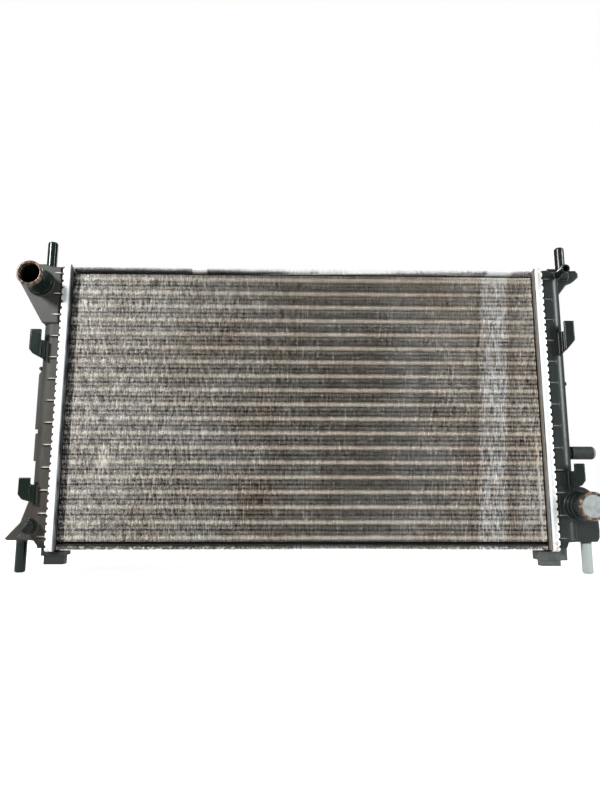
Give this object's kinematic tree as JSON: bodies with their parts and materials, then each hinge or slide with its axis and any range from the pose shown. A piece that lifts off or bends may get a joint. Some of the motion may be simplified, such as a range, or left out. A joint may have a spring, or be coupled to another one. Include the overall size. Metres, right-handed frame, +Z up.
{
  "type": "car radiator",
  "caption": "Cross-flow car radiator: plate-fin aluminium core on round tubes between two moulded end tanks with hose spigots, locating pins and a drain screw.",
  "frame": {"origin": "root of the lower left locating pin, on the pin's axis", "axes": "+X across the core from the inlet tank to the outlet tank, +Y through the core away from the hose spigots and the fan, +Z up as installed"},
  "size_m": [0.7357, 0.079, 0.4266],
  "materials": {
    "tank_plastic_left": "dusty glass-filled nylon, satin",
    "tank_plastic_right": "glass-filled nylon with a soft shine",
    "header_aluminium": "bright pressed sheet",
    "gasket_rubber": "black rubber",
    "tube_aluminium": "drawn tube",
    "turbulator_plastic": "natural plastic strip",
    "fin_aluminium": "thin rolled plate, slightly tarnished",
    "side_plate_aluminium": "folded strip",
    "clip_plastic": "black moulded plastic",
    "drain_plastic": "black moulded plastic",
    "seal_rubber": "black rubber",
    "cap_rubber": "black rubber",
    "transport_plug_plastic": "grey moulded plastic"
  },
  "bodies": {
    "radiator": {"left_tank": "tank_plastic_left", "right_tank": "tank_plastic_right", "left_header": "header_aluminium", "right_header": "header_aluminium", "left_gasket": "gasket_rubber", "right_gasket": "gasket_rubber", "front_tubes": "tube_aluminium", "rear_tubes": "tube_aluminium", "front_turbulators": "turbulator_plastic", "rear_turbulators": "turbulator_plastic", "fins": "fin_aluminium", "left_end_fins": "fin_aluminium", "right_end_fins": "fin_aluminium", "upper_side_plate": "side_plate_aluminium", "lower_side_plate": "side_plate_aluminium", "left_condenser_clip": "clip_plastic", "right_condenser_clip": "clip_plastic", "blanking_cap": "cap_rubber", "outlet_transport_plug": "transport_plug_plastic"},
    "drain_ring": {"drain_seal": "seal_rubber"},
    "drain_screw": {"drain_plug": "drain_plastic"}
  },
  "joints": [
    {"name": "drain_travel", "type": "slide", "parent": "radiator", "child": "drain_ring", "axis": [0, -1, 0], "range_m": [0, 0.00602]},
    {"name": "drain_turn", "type": "hinge", "parent": "drain_ring", "child": "drain_screw", "pos_m": [0.0154, -0.024, 0.017], "axis": [0, -1, 0], "range_deg": [0, 720]}
  ],
  "couplings": [
    {"joint": "drain_travel", "follows": "drain_turn", "m_per_rad": 0.00047746}
  ]
}
